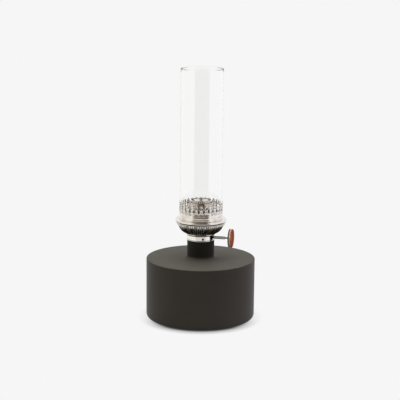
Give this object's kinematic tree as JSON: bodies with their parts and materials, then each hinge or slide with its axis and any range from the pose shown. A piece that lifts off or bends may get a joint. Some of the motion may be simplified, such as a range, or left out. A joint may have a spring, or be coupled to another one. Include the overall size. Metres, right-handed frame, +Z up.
{
  "type": "oil lamp",
  "caption": "Table oil lamp: squat round tank with a short neck, round-wick burner with pierced crown and side knob, and a tall straight glass chimney.",
  "frame": {"origin": "centre of the base pad's underside, on the table", "axes": "+Z up along the lamp's axis, +X along the wick spindle towards the knob"},
  "size_m": [0.133, 0.133, 0.3077],
  "materials": {
    "tank_paint": "matt powder coat, warm dark grey",
    "cork": "pressed cork",
    "gasket": "matt",
    "brass": "plain spun brass",
    "spindle_steel": "drawn rod",
    "nickel": "polished nickel plate",
    "dark_nickel": "nickel plate darkened by lamp oil",
    "copper": "brushed copper",
    "cotton": "woven cotton wick",
    "clear_glass": "clear, fire-polished ends"
  },
  "bodies": {
    "tank": {"tank_shell": "tank_paint", "tank_bottom": "tank_paint", "base_pad": "cork", "neck_tube": "tank_paint", "thread_insert": "brass"},
    "burner": {"thread_sleeve": "brass", "neck_gasket": "gasket", "collar_band": "nickel", "basket_ring": "nickel", "air_basket": "dark_nickel", "bead_band": "nickel", "burner_floor": "brass", "wick_tube": "nickel", "draft_tube": "nickel", "wick_guide": "brass", "spindle_ears": "brass", "spindle_bushing": "brass", "spindle_tube": "nickel", "wick_tail": "cotton"},
    "knob": {"wick_spindle": "spindle_steel", "wick_wheels": "brass", "knob_hub": "nickel", "knob_disc": "copper", "knob_rivet": "copper"},
    "wick": {"wick": "cotton"},
    "gallery": {"gallery_flange": "nickel", "crown": "nickel", "air_deflector": "nickel"},
    "chimney": {"chimney_glass": "clear_glass"}
  },
  "joints": [
    {"name": "burner_lift", "type": "slide", "parent": "tank", "child": "burner", "axis": [0, 0, 1], "range_m": [0, 0.1]},
    {"name": "knob_turn", "type": "hinge", "parent": "burner", "child": "knob", "pos_m": [0, 0, 0.1013], "axis": [1, 0, 0], "range_deg": [-60, 90]},
    {"name": "wick_slide", "type": "slide", "parent": "burner", "child": "wick", "axis": [0, 0, 1], "range_m": [-0.0045, 0.0065]},
    {"name": "gallery_lift", "type": "slide", "parent": "burner", "child": "gallery", "axis": [0, 0, 1], "range_m": [0, 0.04]},
    {"name": "chimney_lift", "type": "slide", "parent": "gallery", "child": "chimney", "axis": [0, 0, 1], "range_m": [0, 0.04]}
  ],
  "couplings": [
    {"joint": "wick_slide", "follows": "knob_turn", "m_per_rad": 0.0039}
  ]
}
